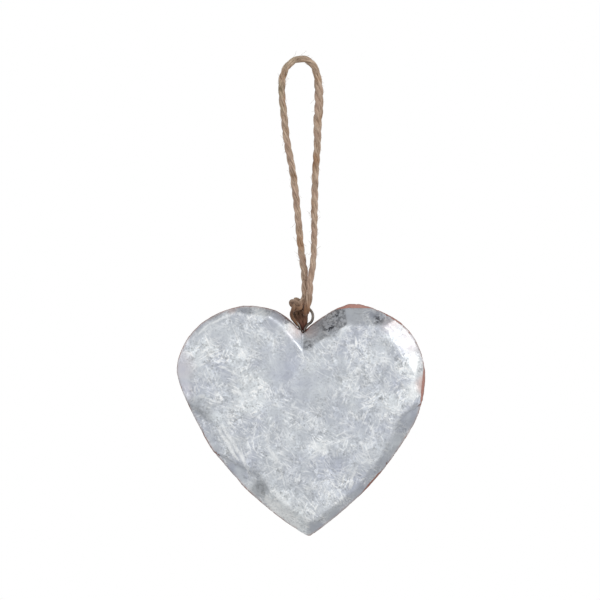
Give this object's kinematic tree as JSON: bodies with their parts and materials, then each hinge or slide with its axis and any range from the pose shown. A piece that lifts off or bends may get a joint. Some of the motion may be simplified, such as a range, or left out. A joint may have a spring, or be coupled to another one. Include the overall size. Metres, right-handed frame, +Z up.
{
  "type": "heart ornament",
  "caption": "Hanging heart ornament of carved terracotta, silver-leafed in front, swinging by a wire eye on a looped and knotted jute cord.",
  "frame": {"origin": "where a hook bears: the underside of the cord at the top of its loop", "axes": "+Z up along the hanging cord, +X across the heart to the viewer's right, the leafed front faces -Y"},
  "size_m": [0.1055, 0.02, 0.2047],
  "materials": {
    "terracotta": "matt, hand-carved, unglazed",
    "silver_leaf": "soft burnished leaf with fine creases",
    "dark_wire": "dark, oxidised",
    "cement": "rough",
    "jute": "plied twine with stray fibres"
  },
  "bodies": {
    "loop": {"cord_loop": "jute"},
    "hitch": {"cord_lead": "jute", "cord_hitch": "jute", "cord_knot": "jute"},
    "heart": {"heart_body": "terracotta", "front_leaf": "silver_leaf", "wire_eye": "dark_wire", "eye_cement": "cement"}
  },
  "joints": [
    {"name": "twist", "type": "hinge", "parent": "loop", "child": "hitch", "pos_m": [0.00252, 0, -0.0935], "axis": [0, 0, 1], "range_deg": [-180, 180], "stiffness_Nm_per_rad": 0.0006},
    {"name": "swing", "type": "hinge", "parent": "hitch", "child": "heart", "pos_m": [0.0004, 0, -0.1044], "axis": [1, 0, 0], "range_deg": [-45, 85]}
  ]
}
